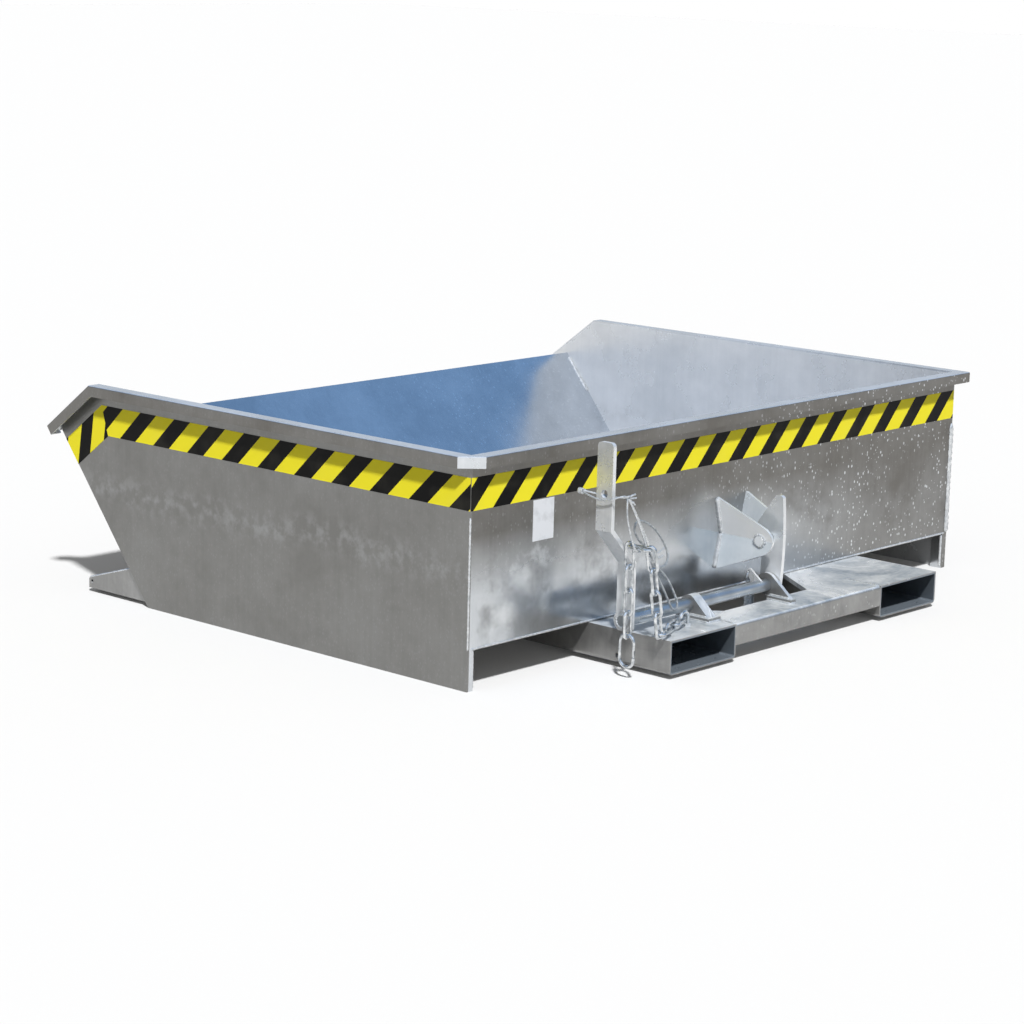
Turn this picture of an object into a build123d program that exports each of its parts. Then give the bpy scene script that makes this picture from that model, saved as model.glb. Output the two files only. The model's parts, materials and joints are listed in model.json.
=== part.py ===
from build123d import *
from math import atan2, cos, degrees, hypot, radians, sin, sqrt, tan
import os

# Tipping skip for a fork truck. A galvanised trough with a low pouring front is hinged along its
# front bottom edge to a base with two fork pockets. A hook on the base holds the trough's rear wall
# down until the driver pulls the release lever.
# Millimetres, +Z up. X runs across, Y runs forward to the pouring lip. While it is modelled, Y = 0 is
# the outer face of the rear wall; save() then puts the origin under the middle of the overall box.

# Trough
trough_width = 1400.0
sheet = 4.0
fold_radius = 6.0
floor_under = 70.0
rim_top = 395.0
foot_length = 794.0
front_lean = 39.2
front_inset = 30.0
lip_top = 316.0

# Rim folded round the top edge
rim_sheet = 3.0
rim_overhang = 22.0
rim_flange = 20.0
rim_edge_radius = 2.5
rim_corner = 33.0
rim_corner_turn = 45.0
rim_broken_corner = 3.0
rim_bend = 935.0
rim_slope = 37.0
rim_front = 1054.0

# Stiffening flats under the trough and along the lip
foot_flat_width = 25.0
foot_flat_thick = 10.0
front_foot_flat = 640.0
lip_bar_width = 40.0
lip_bar_thick = 6.0

# Striped tape and the bare label
tape_width = 55.0
tape_thick = 0.6
tape_below_rim = 37.0
tape_end_gap = 1.0
label_width = 52.0
label_height = 70.0
label_from_end = 179.0
label_gap = 2.0

# Base
pocket_middle = 305.0
pocket_width = 180.0
pocket_height = 60.0
pocket_wall = 4.0
pocket_bend = 8.0
pocket_rear_length = 180.0
base_clear = 8.0
drain_hole = 12.0
drain_pitch = 230.0
mouth_hole = 8.0
mouth_hole_inset = 15.0
mouth_hole_apart = 100.0
cross_depth = 80.0
cross_height = 40.0
cross_bend = 6.0
gusset_thick = 8.0
gusset_across = 60.0
gusset_along = 71.0

# Wedge box that closes the front of the base
wedge_behind_hinge = 88.0
wedge_crest = 5.0
wedge_ahead = 140.0
wedge_nose_height = 18.0
wedge_wall = 4.0
wedge_side_gap = 2.0
vent_hole = 6.0
vent_from_nose = 9.0
vent_above_floor = 13.0

# Front hinges
hinge_forward = 15.6
hinge_drop = 4.0
hinge_pin = 16.0
hinge_head = 23.0
hinge_head_thick = 5.0
hinge_tail = 12.0
hinge_play = 0.05
hinge_side_gap = 0.5
eye_radius = 13.0
leaf_width = 60.0
leaf_thick = 8.0
leaf_length = 160.0
ear_thick = 10.0
window_gap = 4.0
split_pin = 3.6
split_pin_length = 24.0

# Catch on the rear wall
latch_middle = -6.0
catch_gap = 48.0
catch_plate = 5.0
catch_flare = 16.0
catch_top = 242.0
catch_foot = 110.0
catch_nose_radius = 27.0
catch_pin = 20.0
catch_pin_proud = 6.0
pin_chamfer = 1.5
catch_pin_back = 89.0
catch_pin_height = 174.0
weld_play = 0.1

# Latch shaft, its brackets and the hook
shaft = 22.0
shaft_back = 94.0
shaft_height = 92.0
shaft_play = 0.05
pad_thick = 7.0
pad_edge = 6.0
bracket_left_x = -231.0
bracket_left_thick = 22.0
bracket_left_foot = 60.0
bracket_left_back = 138.0
bracket_left_radius = 17.0
bracket_right_thick = 8.0
bracket_right_gap = 2.0
bracket_right_foot = 48.0
bracket_right_back = 149.0
bracket_right_radius = 22.0
hook_thick = 8.0
hook_eye = 22.0
hook_throat_play = 1.2
hook_tip_height = 256.0
hook_tip_back = 107.0
hook_tip_radius = 9.0
hook_spine_back = 120.0
hook_nose_height = 197.0
hook_nose_back = 60.0
hook_jaw_back = 75.0
throat_sweep = 60.0

# Release lever
lever_width = 34.0
lever_corner = 8.0
lever_below_shaft = 19.0
lever_thick = 8.0
lever_foot_x = -412.0
lever_head_x = -473.0
lever_joggle_low = 192.0
lever_joggle_high = 256.0
lever_top = 404.0
lever_hole = 14.0
lever_hole_height = 317.0
boss_diameter = 34.0
boss_thick = 6.0

# Return spring
spring_x = -40.0
spring_back = 72.0
spring_wire = 2.2
spring_radius = 8.0
spring_turns = 14
spring_leg = 18.0
spring_lug_thick = 5.0
spring_lug_radius = 5.5
spring_lug_hole = 6.0
spring_peg = 6.0
spring_peg_head = 12.0
spring_peg_height = 33.0
spring_top = 115.0

# Safety chain with its snap hook
link_wire = 5.5
link_inner_length = 40.0
link_inner_width = 11.0
link_play = 0.6
chain_back = 122.5
chain_x = -440.0
bow_bar = 7.0
bow_radius = 10.0
bow_x = -292.0
bow_back = 125.5
bow_leg = 14.0
chain_flat_links = 3
chain_rising_links = 4
chain_falling_links = 4
snap_wire = 6.0
snap_radius = 15.0
snap_straight = 26.0
snap_gate_length = 22.0
snap_gate_wire = 5.4
snap_tongue = 2.0
snap_slot = 2.6
snap_rivet = 2.4
snap_play = 0.05
snap_end_gap = 0.3

# Binding wire and the release cable tied up with it
tie_wire = 3.0
tie_bend = 5.0
tie_play = 0.2
tie_tail = 45.0
tie_side = 10.0
tie_rear = 17.0
tie_knot_share = 0.15
cable = 4.0
ferrule_radius = 5.5
ferrule_length = 20.0
ferrule_x = -381.0
ferrule_z = 200.0
ferrule_tilt = -34.5
cable_back = 120.0
route_arc_share = 0.45

# Worked-out places
half_width = trough_width / 2
inner_half = half_width - sheet
lean = radians(front_lean)
up_wall = Vector(0, sin(lean), cos(lean))
out_of_wall = Vector(0, cos(lean), -sin(lean))
slope = radians(rim_slope)
rim_half = half_width + rim_overhang
rim_start = rim_corner - rim_overhang
plate_top = rim_top - rim_sheet
base_top = base_clear + pocket_height
frame_shift = (pocket_rear_length - rim_front) / 2


def front_edge(height, inset=0.0):
    """Y of the side plates' front edge, or of a line that far behind it."""
    return foot_length + height * tan(lean) - inset / cos(lean)


wall_corner = Vector(0, front_edge(floor_under, front_inset), floor_under)
hinge_y = wall_corner.Y + hinge_forward
hinge_z = wall_corner.Z - hinge_drop
wedge_back = hinge_y - wedge_behind_hinge
wedge_bend = hinge_y + wedge_crest
wedge_nose = hinge_y + wedge_ahead
hinge_foot = hinge_forward * cos(lean) + hinge_drop * sin(lean)
shaft_y = -shaft_back
pin_y = -catch_pin_back
lever_y = shaft_y
pad_top = base_top + pad_thick


def save(name, shape):
    export_step(Pos(0, frame_shift, 0) * shape, f"parts/{name}.step")


def group(solids):
    return Compound(children=list(solids))


def polygon(points):
    return make_face(Polyline(*points, close=True))


def across(outline, x_from, x_to):
    """Extrude a Y-Z outline along X."""
    return extrude(Pos(x_from, 0, 0) * (Plane.YZ * outline), amount=x_to - x_from, dir=(1, 0, 0))


def along(outline, y_from, y_to):
    """Extrude an X-Z outline along Y."""
    return extrude(Pos(0, y_from, 0) * (Plane.XZ * outline), amount=y_to - y_from, dir=(0, 1, 0))


def block(x_from, x_to, y_from, y_to, z_from, z_to):
    middle = Pos((x_from + x_to) / 2, (y_from + y_to) / 2, (z_from + z_to) / 2)
    return middle * Box(x_to - x_from, y_to - y_from, z_to - z_from)


def bar_x(radius, x_from, x_to, y, z):
    return Pos((x_from + x_to) / 2, y, z) * Rot(0, 90, 0) * Cylinder(radius, x_to - x_from)


def bar_y(radius, y_from, y_to, x, z):
    return Pos(x, (y_from + y_to) / 2, z) * Rot(90, 0, 0) * Cylinder(radius, y_to - y_from)


def half_ring(radius, bar_radius):
    """Upper half of a round ring in the X-Z plane."""
    return Rot(90, 0, 0) * Torus(radius, bar_radius, major_angle=180, align=Align.NONE)


def mirrored(shape):
    return mirror(shape, about=Plane.YZ)


def disc_at(radius, y, z):
    return Pos(y, z) * Circle(radius)


def offset_path(points, distance):
    """A path moved to the right of its direction, mitred where it turns."""
    moved = []
    for index, (u, v) in enumerate(points):
        turns = []
        for start, end in ((index - 1, index), (index, index + 1)):
            if start >= 0 and end < len(points):
                du = points[end][0] - points[start][0]
                dv = points[end][1] - points[start][1]
                turns.append((dv / hypot(du, dv), -du / hypot(du, dv)))
        side_u = sum(turn[0] for turn in turns)
        side_v = sum(turn[1] for turn in turns)
        reach = distance * len(turns) / (side_u ** 2 + side_v ** 2)
        moved.append((u + side_u * reach, v + side_v * reach))
    return moved


def strip(points, right, left=0.0):
    """Closed outline of a folded sheet that follows a path."""
    return polygon(offset_path(points, right) + offset_path(points, -left)[::-1])


# Trough

def rim_path():
    """Top line of a side rim, from the rear corner piece to the lip."""
    drop = (rim_front - rim_bend) * tan(slope)
    return [(rim_start, rim_top), (rim_bend, rim_top), (rim_front, rim_top - drop)]


def side_outline():
    """Side plate: feet on the ground, leaning front edge, top edge under the rim."""
    bend = offset_path(rim_path(), rim_sheet)[1]
    run = front_edge(bend[1]) - bend[0]
    reach = run / (cos(slope) + tan(lean) * sin(slope))
    lip_corner = (bend[0] + reach * cos(slope), bend[1] - reach * sin(slope))
    return polygon([(0, 0), (foot_length, 0), lip_corner, bend, (0, plate_top)])


def floor_front_sheet():
    """Trough floor and front wall, folded from one sheet."""
    lip = Vector(0, front_edge(lip_top, front_inset + sheet), lip_top)
    outer_lip = lip + out_of_wall * sheet
    inner_floor = floor_under + sheet
    inner_corner = (front_edge(inner_floor, front_inset + sheet), inner_floor)
    outer_corner = (wall_corner.Y, wall_corner.Z)
    outline = polygon([(sheet, floor_under), outer_corner, (outer_lip.Y, outer_lip.Z),
                       (lip.Y, lip.Z), inner_corner, (sheet, inner_floor)])
    inner = outline.vertices().sort_by_distance((*inner_corner, 0))[0]
    outline = fillet(inner, fold_radius)
    outer = outline.vertices().sort_by_distance((*outer_corner, 0))[0]
    outline = fillet(outer, fold_radius + sheet)
    return across(outline, -inner_half, inner_half)


def rear_wall():
    return block(-inner_half, inner_half, 0, sheet, floor_under, plate_top)


def side_rim():
    """Left rim: a folded angle that bends down towards the lip, where its end is closed."""
    path = rim_path()
    top = across(strip(path, rim_sheet), -rim_half, -inner_half)
    flange = across(strip(path, rim_flange), -rim_half, -rim_half + rim_sheet)
    end = [path[-1], offset_path(path, rim_flange)[-1]]
    behind = [(y - rim_sheet * cos(slope), z + rim_sheet * sin(slope)) for y, z in end[::-1]]
    cap = across(polygon(end + behind), -rim_half, -half_width)
    rim = top + flange + cap
    middles = [((a[0] + b[0]) / 2, (a[1] + b[1]) / 2) for a, b in zip(path[:-1], path[1:])]
    edges = [rim.edges().sort_by_distance((-rim_half, y, z))[0] for y, z in middles]
    return fillet(edges, rim_edge_radius)


def rear_rim():
    """Rear rim, an angle that opens downwards. Its left corner is cut off, its right one only broken."""
    left = rim_corner - rim_half
    right = rim_half - rim_broken_corner
    inner_edge = [(inner_half, rim_start), (inner_half, sheet),
                  (-inner_half, sheet), (-inner_half, rim_start)]
    outer = [(-rim_half, rim_start), (left, -rim_overhang), (right, -rim_overhang),
             (rim_half, rim_broken_corner - rim_overhang), (rim_half, rim_start)]
    flange_back = rim_sheet - rim_overhang
    mitre = rim_sheet * tan(radians(rim_corner_turn / 2))
    left_end = rim_sheet * sqrt(2) - rim_half
    right_end = rim_half - rim_sheet
    inner = [(left_end, rim_start), (left + mitre, flange_back),
             (right_end, flange_back), (right_end, rim_start)]
    foot = Pos(0, 0, rim_top - rim_flange)
    solid = extrude(foot * polygon(outer + inner_edge), amount=rim_flange)
    middles = [((a[0] + b[0]) / 2, (a[1] + b[1]) / 2, rim_top) for a, b in zip(outer[:-1], outer[1:])]
    edges = [solid.edges().sort_by_distance(middle)[0] for middle in middles]
    solid = fillet(edges, rim_edge_radius)
    return solid - extrude(foot * polygon(inner + inner_edge), amount=rim_flange - rim_sheet)


def lip_bar():
    """Flat along the pouring lip, on the outer face of the front wall."""
    lip = Vector(0, front_edge(lip_top, front_inset + sheet), lip_top) + out_of_wall * sheet
    low = lip - up_wall * lip_bar_width
    corners = [lip, low, low + out_of_wall * lip_bar_thick, lip + out_of_wall * lip_bar_thick]
    return across(polygon([(corner.Y, corner.Z) for corner in corners]), -inner_half, inner_half)


def foot_flats():
    """Uprights against the inside of the feet, up to the trough floor."""
    flats = []
    for back in (0.0, front_foot_flat):
        flat = block(-inner_half, -inner_half + foot_flat_thick, back, back + foot_flat_width, 0, floor_under)
        flats += [flat, mirrored(flat)]
    return group(flats)


def side_tape():
    outer = offset_path(rim_path(), tape_below_rim)[1]
    inner = offset_path(rim_path(), tape_below_rim + tape_width)[1]
    outline = polygon([(tape_end_gap, outer[1]), outer, inner, (tape_end_gap, inner[1])])
    return across(outline, -half_width - tape_thick, -half_width)


def lip_tape():
    """Tape under the sloping rim, cut off along the plate's front edge."""
    path = rim_path()
    low = offset_path(path, tape_below_rim + tape_width)
    band = polygon(offset_path(path, tape_below_rim)[1:] + low[:0:-1])
    return across(band & side_outline(), -half_width - tape_thick, -half_width)


def rear_tape():
    top = rim_top - tape_below_rim
    end = half_width - tape_end_gap
    return block(-end, end, -tape_thick, 0, top - tape_width, top)


def label_blank():
    top = rim_top - tape_below_rim - tape_width - label_gap
    left = label_from_end - half_width - label_width / 2
    return block(left, left + label_width, -tape_thick, 0, top - label_height, top)


# Front hinges

def hinge_leaf():
    """Strap on the front wall, rolled into an eye round the hinge axis."""
    axis = Vector(0, hinge_y, hinge_z)
    foot = axis - out_of_wall * hinge_foot
    far = foot + up_wall * leaf_length
    corners = [foot, far, far + out_of_wall * leaf_thick, foot + out_of_wall * leaf_thick]
    outline = polygon([(corner.Y, corner.Z) for corner in corners]) + disc_at(eye_radius, hinge_y, hinge_z)
    outline -= disc_at(hinge_pin / 2 + hinge_play, hinge_y, hinge_z)
    return across(outline, pocket_middle - leaf_width / 2, pocket_middle + leaf_width / 2)


def ear_faces():
    """Inner and outer X of the ear plates, from the hinge's middle."""
    inner = leaf_width / 2 + hinge_side_gap
    return inner, inner + ear_thick


def hinge_ear():
    foot = base_clear + wedge_wall
    upright = polygon([(hinge_y - eye_radius, foot), (hinge_y + eye_radius, foot),
                       (hinge_y + eye_radius, hinge_z), (hinge_y - eye_radius, hinge_z)])
    outline = upright + disc_at(eye_radius, hinge_y, hinge_z)
    outline -= disc_at(hinge_pin / 2 + weld_play, hinge_y, hinge_z)
    inner, outer = ear_faces()
    return across(outline, inner, outer)


def hinge_ears():
    ear = hinge_ear()
    return group(Pos(side * pocket_middle, 0, 0) * copy
                 for side in (-1, 1) for copy in (ear, mirrored(ear)))


def split_pin_x():
    return pocket_middle + ear_faces()[1] + hinge_tail / 2


def hinge_pin_right():
    """Headed pin, drilled at its tail for the split pin."""
    inner_end = pocket_middle - ear_faces()[1]
    pin = bar_x(hinge_pin / 2, inner_end, inner_end + 2 * ear_faces()[1] + hinge_tail, hinge_y, hinge_z)
    pin = chamfer(pin.edges().group_by(Axis.X)[-1], pin_chamfer)
    pin += bar_x(hinge_head / 2, inner_end - hinge_head_thick, inner_end, hinge_y, hinge_z)
    return pin - Pos(split_pin_x(), hinge_y, hinge_z) * Cylinder(split_pin / 2 + weld_play, hinge_head)


def split_pin_right():
    """Split pin with its eye below the hinge pin."""
    shank = Pos(split_pin_x(), hinge_y, hinge_z) * Cylinder(split_pin / 2, split_pin_length)
    eye_z = hinge_z - split_pin_length / 2 - split_pin
    return shank + Pos(split_pin_x(), hinge_y, eye_z) * Rot(90, 0, 0) * Torus(split_pin, split_pin / 3)


# Base

def fork_pocket():
    """Right fork pocket: a folded tube, open at the rear mouth, with drain holes."""
    low = base_clear + pocket_height / 2
    outer = Rectangle(pocket_width, pocket_height)
    outer = fillet(outer.vertices().group_by(Axis.Y)[0], pocket_bend)
    inner = Rectangle(pocket_width - 2 * pocket_wall, pocket_height - 2 * pocket_wall)
    inner = fillet(inner.vertices().group_by(Axis.Y)[0], pocket_bend - pocket_wall)
    tube = along(Pos(pocket_middle, low) * (outer - inner), -pocket_rear_length, wedge_back)
    count = int((wedge_back + pocket_rear_length) / drain_pitch)
    for index in range(count):
        y = -pocket_rear_length + (index + 0.5) * drain_pitch
        tube -= Pos(pocket_middle, y, base_clear) * Cylinder(drain_hole / 2, 4 * pocket_wall)
    for side in (-1, 1):
        hole_x = pocket_middle + side * mouth_hole_apart / 2
        hole_y = mouth_hole_inset - pocket_rear_length
        tube -= Pos(hole_x, hole_y, base_clear) * Cylinder(mouth_hole / 2, 4 * pocket_wall)
    side_hole = bar_x(drain_hole / 3, pocket_middle, pocket_middle + pocket_width,
                      -pocket_rear_length + drain_pitch / 2, base_clear + pocket_bend + drain_hole / 2)
    return tube - side_hole


def rear_cross_member():
    """Box tube between the pockets, flush with their mouths and tops."""
    outer = RectangleRounded(cross_depth, cross_height, cross_bend)
    inner = RectangleRounded(cross_depth - 2 * pocket_wall, cross_height - 2 * pocket_wall,
                             cross_bend - pocket_wall)
    reach = pocket_middle - pocket_width / 2
    place = Pos(-pocket_rear_length + cross_depth / 2, base_top - cross_height / 2)
    return across(place * (outer - inner), -reach, reach)


def corner_gussets():
    reach = pocket_middle - pocket_width / 2
    front = -pocket_rear_length + cross_depth
    outline = polygon([(reach, front), (reach - gusset_across, front), (reach, front + gusset_along)])
    plate = extrude(Pos(0, 0, base_top - gusset_thick) * outline, amount=gusset_thick, dir=(0, 0, 1))
    return group([plate, mirrored(plate)])


def wedge_outline():
    nose_top = base_clear + wedge_nose_height
    return [(wedge_back, base_clear), (wedge_nose, base_clear), (wedge_nose, nose_top),
            (wedge_bend, base_top), (wedge_back, base_top)]


def wedge_half():
    return inner_half - wedge_side_gap


def hinge_windows():
    """Room in the wedge's top and ramp for the knuckles, pins and split pins."""
    outer = ear_faces()[1]
    half = outer + hinge_tail + window_gap
    window = block(pocket_middle - half, pocket_middle + half, hinge_y - eye_radius - window_gap,
                   hinge_y + eye_radius + 2 * window_gap, hinge_z - eye_radius, hinge_z + 2 * eye_radius)
    return window + mirrored(window)


def wedge_shell():
    """Folded top, ramp, nose and bottom of the front box."""
    outline = strip(wedge_outline(), 0, wedge_wall)
    end = wedge_half() - wedge_wall
    return across(outline, -end, end) - hinge_windows()


def wedge_rear_plate():
    end = wedge_half() - wedge_wall
    return block(-end, end, wedge_back, wedge_back + wedge_wall,
                 base_clear + wedge_wall, base_top - wedge_wall)


def wedge_end_cheeks():
    """End plates of the front box, each with a vent for the zinc bath."""
    outline = polygon(wedge_outline())
    outline -= disc_at(vent_hole / 2, wedge_nose - vent_from_nose, base_clear + vent_above_floor)
    cheek = across(outline, wedge_half() - wedge_wall, wedge_half())
    return group([cheek, mirrored(cheek)])


# Latch shaft and brackets

def bracket_outline(radius, foot_from, foot_to):
    """A foot on its pad and a round eye at the shaft."""
    foot = Line((foot_from, pad_top), (foot_to, pad_top))
    hull = make_hull(disc_at(radius, shaft_y, shaft_height).edges() + foot.edges())
    return hull - Pos(shaft_y, pad_top - radius) * Rectangle(8 * radius, 2 * radius)


def shaft_bore():
    return disc_at(shaft / 2 + shaft_play, shaft_y, shaft_height)


def left_foot():
    return -bracket_left_back, -bracket_left_back + bracket_left_foot


def right_foot():
    return -bracket_right_back, -bracket_right_back + bracket_right_foot


def right_bracket_x():
    """The right bracket stands just to the left of the hook."""
    outer = latch_middle - hook_thick / 2 - bracket_right_gap
    return outer - bracket_right_thick, outer


def shaft_bracket_left():
    outline = bracket_outline(bracket_left_radius, *left_foot()) - shaft_bore()
    half = bracket_left_thick / 2
    return across(outline, bracket_left_x - half, bracket_left_x + half)


def shaft_bracket_right():
    outline = bracket_outline(bracket_right_radius, *right_foot()) - shaft_bore()
    return across(outline, *right_bracket_x())


def bracket_pads():
    """Packing plates that lift the brackets off the base."""
    half = bracket_left_thick / 2 + pad_edge
    left = block(bracket_left_x - half, bracket_left_x + half,
                 left_foot()[0] - pad_edge, left_foot()[1] + pad_edge, base_top, pad_top)
    inner, outer = right_bracket_x()
    right = block(inner - pad_edge, outer, right_foot()[0] - pad_edge, right_foot()[1], base_top, pad_top)
    return group([left, right])


def boss_x():
    """Left faces of the boss and of the lever's foot."""
    lever_face = lever_foot_x - lever_thick / 2
    return lever_face - boss_thick, lever_face


def latch_shaft():
    return bar_x(shaft / 2, boss_x()[0], latch_middle + hook_thick / 2, shaft_y, shaft_height)


def lever_boss():
    ring = disc_at(boss_diameter / 2, shaft_y, shaft_height)
    ring -= disc_at(shaft / 2 + weld_play, shaft_y, shaft_height)
    return across(ring, *boss_x())


def release_lever():
    """Flat bar with a joggle, broken corners and a hole near the top."""
    half = lever_width / 2
    low = shaft_height - lever_below_shaft
    path = [(lever_foot_x, low), (lever_foot_x, lever_joggle_low), (lever_head_x, lever_joggle_high),
            (lever_head_x, lever_top)]
    bar = along(strip(path, lever_thick / 2, lever_thick / 2), lever_y - half, lever_y + half)
    outline = RectangleRounded(lever_width, lever_top - low, lever_corner)
    outline = Pos(lever_y, (low + lever_top) / 2) * outline
    outline -= disc_at(shaft / 2 + weld_play, shaft_y, shaft_height)
    outline -= disc_at(lever_hole / 2, lever_y, lever_hole_height)
    return bar & across(outline, lever_head_x - lever_thick, lever_foot_x + lever_thick)


def latch_hook():
    """Hook plate. Its throat is an arc about the shaft, so the pin never rides on the nose."""
    tip_front = (-hook_tip_back + hook_tip_radius, hook_tip_height - hook_tip_radius / 2)
    tip_back = (-hook_tip_back - hook_tip_radius, hook_tip_height - hook_tip_radius / 2)
    nose = (-hook_nose_back, hook_nose_height)
    pin_radius = hypot(pin_y - shaft_y, catch_pin_height - shaft_height)
    nose_low = (-hook_nose_back, shaft_height + pin_radius)
    jaw = (-hook_jaw_back, shaft_height + pin_radius)
    eye_front = (shaft_y + hook_eye, shaft_height)
    eye_back = (shaft_y - hook_eye, shaft_height)
    edges = [Line(eye_front, jaw), Line(jaw, nose_low), Line(nose_low, nose), Line(nose, tip_front),
             ThreePointArc(tip_front, (-hook_tip_back, hook_tip_height), tip_back),
             ThreePointArc(tip_back, (-hook_spine_back, catch_pin_height), eye_back),
             ThreePointArc(eye_back, (shaft_y, shaft_height - hook_eye), eye_front)]
    outline = make_face(edges)
    seat = degrees(atan2(catch_pin_height - shaft_height, pin_y - shaft_y))
    throat_arc = CenterArc((shaft_y, shaft_height), pin_radius, seat - throat_sweep, throat_sweep)
    outline -= SlotArc(throat_arc, catch_pin + 2 * hook_throat_play)
    outline -= disc_at(shaft / 2 + weld_play, shaft_y, shaft_height)
    return across(outline, latch_middle - hook_thick / 2, latch_middle + hook_thick / 2)


# Catch

def catch_cheek():
    """Right cheek: a plate creased along its middle, spread at its top and foot, with a round nose."""
    inner = catch_gap / 2
    path = [(inner + catch_flare, catch_top), (inner, catch_pin_height), (inner + catch_flare, catch_foot)]
    plate = along(strip(path, 0, catch_plate), pin_y - catch_nose_radius, 0)
    wall_line = Line((0, catch_foot), (0, catch_top))
    outline = make_hull(disc_at(catch_nose_radius, pin_y, catch_pin_height).edges() + wall_line.edges())
    outline -= disc_at(catch_pin / 2 + weld_play, pin_y, catch_pin_height)
    return plate & across(outline, 0, catch_gap + 2 * catch_flare)


def catch_bar():
    half = catch_gap / 2 + catch_plate + catch_pin_proud
    bar = bar_x(catch_pin / 2, latch_middle - half, latch_middle + half, pin_y, catch_pin_height)
    return chamfer(bar.edges().filter_by(GeomType.CIRCLE), pin_chamfer)


# Return spring

def spring_lug():
    """Lug that stands up on the front of the shaft, drilled for the spring's upper end."""
    dip = spring_radius - sqrt(spring_radius ** 2 - (spring_lug_thick / 2) ** 2)
    hole_z = spring_top - dip - spring_wire / 2 - tie_play + spring_lug_hole / 2
    outline = make_hull(disc_at(spring_lug_radius, -spring_back, hole_z).edges()
                        + disc_at(shaft / 2, shaft_y, shaft_height).edges())
    outline -= disc_at(shaft / 2 + weld_play, shaft_y, shaft_height)
    outline -= disc_at(spring_lug_hole / 2, -spring_back, hole_z)
    return across(outline, spring_x - spring_lug_thick / 2, spring_x + spring_lug_thick / 2)


def spring_peg_piece():
    """Headed peg on the front of the cross-member for the spring's lower end."""
    start = -pocket_rear_length + cross_depth
    end = -spring_back + spring_radius
    shank = bar_y(spring_peg / 2, start, end, spring_x, spring_peg_height)
    return shank + bar_y(spring_peg_head / 2, end, end + spring_peg / 2, spring_x, spring_peg_height)


def return_spring():
    """Closed extension coil with a long arch at each end."""
    low_arch = spring_peg_height - spring_peg / 2 - spring_wire / 2 - tie_play
    coil_low = low_arch + spring_radius + spring_leg
    coil_high = spring_top - spring_radius - spring_leg
    height = coil_high - coil_low
    path = Helix(pitch=height / spring_turns, height=height, radius=spring_radius)
    section = Plane(origin=path @ 0, z_dir=path % 0) * Circle(spring_wire / 2)
    coil = Pos(0, 0, coil_low) * sweep(section, path)
    legs = Line((spring_radius, 0), (spring_radius, spring_leg))
    arch_path = legs + CenterArc((0, spring_leg), spring_radius, 0, 180)
    arch_path += Line((-spring_radius, spring_leg), (-spring_radius, 0))
    arch_path = Plane.XZ * arch_path
    arch = sweep(Pos(spring_radius, 0, 0) * Circle(spring_wire / 2), arch_path)
    upper = Pos(0, 0, coil_high) * arch
    lower = Pos(0, 0, coil_low) * Rot(180, 0, 0) * arch
    return Pos(spring_x, -spring_back, 0) * (coil + upper + lower)


# Safety chain

link_wire_radius = link_wire / 2
link_bend = (link_inner_width + link_wire) / 2
link_straight = link_inner_length - link_inner_width
link_end = link_inner_length / 2 + link_wire_radius
link_seat = link_inner_length / 2 - link_wire_radius - link_play
link_pitch = link_end + link_seat
chain_low = base_top + link_bend + link_wire_radius + link_play
falling_y = -chain_back
tie_y = falling_y - link_end
rising_y = tie_y - link_end


def chain_link():
    """One welded link, standing along Z in the X-Z plane."""
    side = Pos(link_bend, 0, 0) * Cylinder(link_wire_radius, link_straight)
    bend = Pos(0, 0, link_straight / 2) * half_ring(link_bend, link_wire_radius)
    return bend + side + mirrored(side) + Rot(180, 0, 0) * bend


def placed_link(centre, direction, normal):
    return Plane(origin=centre, x_dir=normal.cross(direction), z_dir=direction) * chain_link()


def link_row(first, direction, normals, count):
    """Links in line, turned a quarter from one to the next."""
    return [placed_link(first + direction * link_pitch * index, direction, normals[index % 2])
            for index in range(count)]


along_x = Vector(-1, 0, 0)
along_y = Vector(0, 1, 0)
along_z = Vector(0, 0, 1)
falling = along_z * -1
bow_side = Vector(bow_x - bow_radius, -bow_back, chain_low)
flat_seat = link_inner_length / 2 - bow_bar / 2 - link_play
flat_length = flat_seat + link_pitch * (chain_flat_links - 1) + link_end
flat_aside = rising_y + bow_back
flat = Vector(-sqrt(flat_length ** 2 - flat_aside ** 2), flat_aside, 0).normalized()
flat_side = flat.cross(along_z)
first_flat = bow_side + flat * flat_seat
rise_foot = bow_side + flat * flat_length
rise_length = 2 * link_seat + link_pitch * (chain_rising_links - 1)
rise_across = chain_x - rise_foot.X
rising = Vector(rise_across, 0, sqrt(rise_length ** 2 - rise_across ** 2)).normalized()
half_turned = along_y + flat_side
rising_normal = (half_turned - rising * half_turned.dot(rising)).normalized()
rising_side = rising.cross(rising_normal)
tie_centre = Vector(chain_x, tie_y, rise_foot.Z + rising.Z * rise_length)
first_falling = Vector(chain_x, falling_y, tie_centre.Z) + falling * link_seat
snap_centre = first_falling + falling * (link_pitch * (chain_falling_links - 1) + link_end)


def chain_bow():
    """Welded bow on the pocket's top that the chain starts from."""
    leg = Pos(bow_radius, 0, base_top + bow_leg / 2) * Cylinder(bow_bar / 2, bow_leg)
    arch = Pos(0, 0, base_top + bow_leg) * half_ring(bow_radius, bow_bar / 2)
    return Pos(bow_x, -bow_back, 0) * (arch + leg + mirrored(leg))


def chain_run():
    return group(link_row(first_flat, flat, (along_z, flat_side), chain_flat_links))


def chain_tied():
    """Links tied up beside the lever: up to the binding wire, over it and down again."""
    up = link_row(rise_foot + rising * link_seat, rising, (rising_normal, rising_side), chain_rising_links)
    top = placed_link(tie_centre, along_y, along_z)
    down = link_row(first_falling, falling, (along_x, along_y), chain_falling_links)
    return group(up + [top] + down)


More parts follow.
